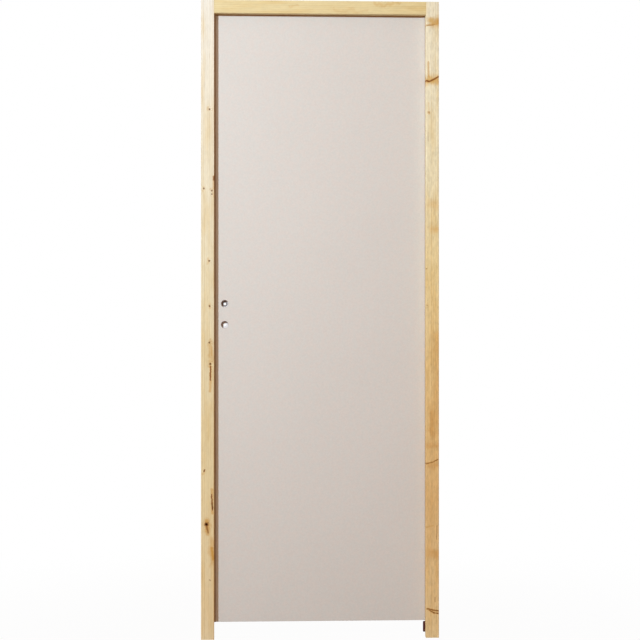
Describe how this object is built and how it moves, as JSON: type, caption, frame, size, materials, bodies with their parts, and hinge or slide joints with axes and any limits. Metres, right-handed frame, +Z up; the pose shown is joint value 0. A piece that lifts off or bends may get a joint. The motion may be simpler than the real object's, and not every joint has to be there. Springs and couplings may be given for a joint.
{
  "type": "acoustic door set",
  "caption": "Flush acoustic door leaf, drilled for a lever and key, hung on lift-off hinges in a rebated softwood frame with a rubber seal on its stops.",
  "frame": {"origin": "on the hinge jamb's wall face, at floor level and half-way through the frame's depth", "axes": "+X out of the hinge jamb into the wall, +Y from the push side to the pull side, +Z up"},
  "size_m": [0.794, 0.088, 2.126],
  "materials": {
    "frame_spruce": "planed spruce, bare",
    "leaf_paint": "smooth factory paint",
    "leaf_rim": "painted softwood edge",
    "core_board": "pressed board",
    "seal_rubber": "matt moulded rubber",
    "lock_steel": "zinc plated",
    "hinge_steel": "zinc plated",
    "washer_brass": "turned"
  },
  "bodies": {
    "frame": {"hinge_jamb": "frame_spruce", "lock_jamb": "frame_spruce", "head": "frame_spruce", "hinge_side_seal": "seal_rubber", "lock_side_seal": "seal_rubber", "head_seal": "seal_rubber", "strike_plate": "lock_steel", "top_hinge_frame_half": "hinge_steel", "middle_hinge_frame_half": "hinge_steel", "bottom_hinge_frame_half": "hinge_steel", "top_hinge_washer": "washer_brass", "middle_hinge_washer": "washer_brass", "bottom_hinge_washer": "washer_brass"},
    "leaf": {"push_face_panel": "leaf_paint", "pull_face_panel": "leaf_paint", "lock_stile": "leaf_rim", "hinge_stile": "leaf_rim", "top_rail": "leaf_rim", "bottom_rail": "leaf_rim", "acoustic_core": "core_board", "lock_case": "lock_steel", "spindle_follower": "lock_steel", "lock_faceplate": "lock_steel", "latch_bolt": "lock_steel", "dead_bolt": "lock_steel", "top_hinge_leaf_half": "hinge_steel", "middle_hinge_leaf_half": "hinge_steel", "bottom_hinge_leaf_half": "hinge_steel"}
  },
  "joints": [
    {"name": "leaf_swing", "type": "hinge", "parent": "frame", "child": "leaf", "pos_m": [-0.0295, 0.045, 1.074], "axis": [0, 0, -1], "range_deg": [0, 170]}
  ]
}
